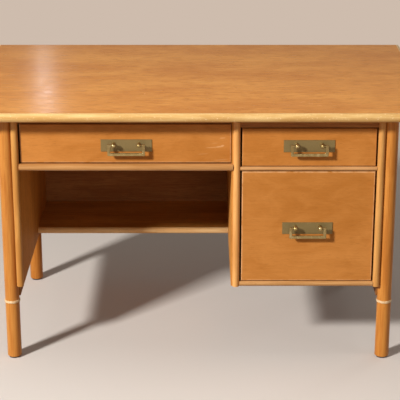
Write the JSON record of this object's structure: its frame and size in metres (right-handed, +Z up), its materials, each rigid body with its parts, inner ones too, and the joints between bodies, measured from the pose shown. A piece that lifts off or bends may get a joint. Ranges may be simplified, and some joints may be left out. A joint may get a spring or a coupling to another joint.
{
  "type": "writing desk",
  "caption": "Writing desk with a veneered top, round pole legs, split-pole edge trims, kneehole with rear shelf, and a pedestal of drawers with swinging bail pulls.",
  "frame": {"origin": "on the floor under the middle of the top", "axes": "+X to the sitter's right along the top, +Y to the rear, +Z up; the drawers open towards -Y"},
  "size_m": [1.31, 0.85, 0.755],
  "materials": {
    "top_veneer": "gloss lacquer",
    "case_veneer": "satin lacquer",
    "front_veneer": "satin lacquer",
    "pole": "gloss lacquer",
    "box_wood": "plain",
    "frame_wood": "plain",
    "cane": "plain",
    "plate_brass": "aged satin",
    "pull_brass": "worn polish",
    "glide_plastic": "matte"
  },
  "bodies": {
    "case": {"desktop_panel": "top_veneer", "top_edge_pole_front": "pole", "top_edge_pole_rear": "pole", "top_edge_pole_left": "pole", "top_edge_pole_right": "pole", "left_side_panel": "case_veneer", "right_side_panel": "case_veneer", "divider_panel": "case_veneer", "kneehole_back_panel": "case_veneer", "pedestal_back_panel": "case_veneer", "pedestal_floor": "frame_wood", "kneehole_shelf": "case_veneer", "shelf_edge_pole": "pole", "left_trim_pole": "pole", "divider_trim_pole": "pole", "right_trim_pole": "pole", "kneehole_top_rail": "case_veneer", "pedestal_top_rail": "case_veneer", "pencil_rail": "frame_wood", "pencil_rail_pole": "pole", "middle_rail": "frame_wood", "middle_rail_pole": "pole", "bottom_rail_pole": "pole", "front_left_leg": "pole", "front_right_leg": "pole", "rear_left_leg": "pole", "rear_right_leg": "pole", "leg_binding_rings": "cane", "leg_glides": "glide_plastic", "left_bearer": "frame_wood", "right_bearer": "frame_wood", "pencil_drawer_runners": "frame_wood", "upper_drawer_runners": "frame_wood", "file_drawer_runners": "frame_wood", "top_fixing_blocks": "frame_wood"},
    "pencil_drawer": {"pencil_drawer_front": "front_veneer", "pencil_drawer_left_side": "box_wood", "pencil_drawer_right_side": "box_wood", "pencil_drawer_back": "box_wood", "pencil_drawer_bottom": "box_wood", "pencil_drawer_backplate": "plate_brass", "pencil_drawer_pull_posts": "pull_brass"},
    "pencil_bail": {"pencil_drawer_bail": "pull_brass"},
    "upper_drawer": {"upper_drawer_front": "front_veneer", "upper_drawer_left_side": "box_wood", "upper_drawer_right_side": "box_wood", "upper_drawer_back": "box_wood", "upper_drawer_bottom": "box_wood", "upper_drawer_backplate": "plate_brass", "upper_drawer_pull_posts": "pull_brass"},
    "upper_bail": {"upper_drawer_bail": "pull_brass"},
    "file_drawer": {"file_drawer_front": "front_veneer", "file_drawer_left_side": "box_wood", "file_drawer_right_side": "box_wood", "file_drawer_back": "box_wood", "file_drawer_bottom": "box_wood", "file_drawer_backplate": "plate_brass", "file_drawer_pull_posts": "pull_brass"},
    "file_bail": {"file_drawer_bail": "pull_brass"}
  },
  "joints": [
    {"name": "pencil_drawer_slide", "type": "slide", "parent": "case", "child": "pencil_drawer", "axis": [0, -1, 0], "range_m": [0, 0.36]},
    {"name": "pencil_bail_hinge", "type": "hinge", "parent": "pencil_drawer", "child": "pencil_bail", "pos_m": [-0.199, -0.372, 0.651], "axis": [-1, 0, 0], "range_deg": [-30, 130]},
    {"name": "upper_drawer_slide", "type": "slide", "parent": "case", "child": "upper_drawer", "axis": [0, -1, 0], "range_m": [0, 0.38]},
    {"name": "upper_bail_hinge", "type": "hinge", "parent": "upper_drawer", "child": "upper_bail", "pos_m": [0.309, -0.378, 0.651], "axis": [-1, 0, 0], "range_deg": [-30, 130]},
    {"name": "file_drawer_slide", "type": "slide", "parent": "case", "child": "file_drawer", "axis": [0, -1, 0], "range_m": [0, 0.42]},
    {"name": "file_bail_hinge", "type": "hinge", "parent": "file_drawer", "child": "file_bail", "pos_m": [0.309, -0.378, 0.4088], "axis": [-1, 0, 0], "range_deg": [-30, 130]}
  ]
}
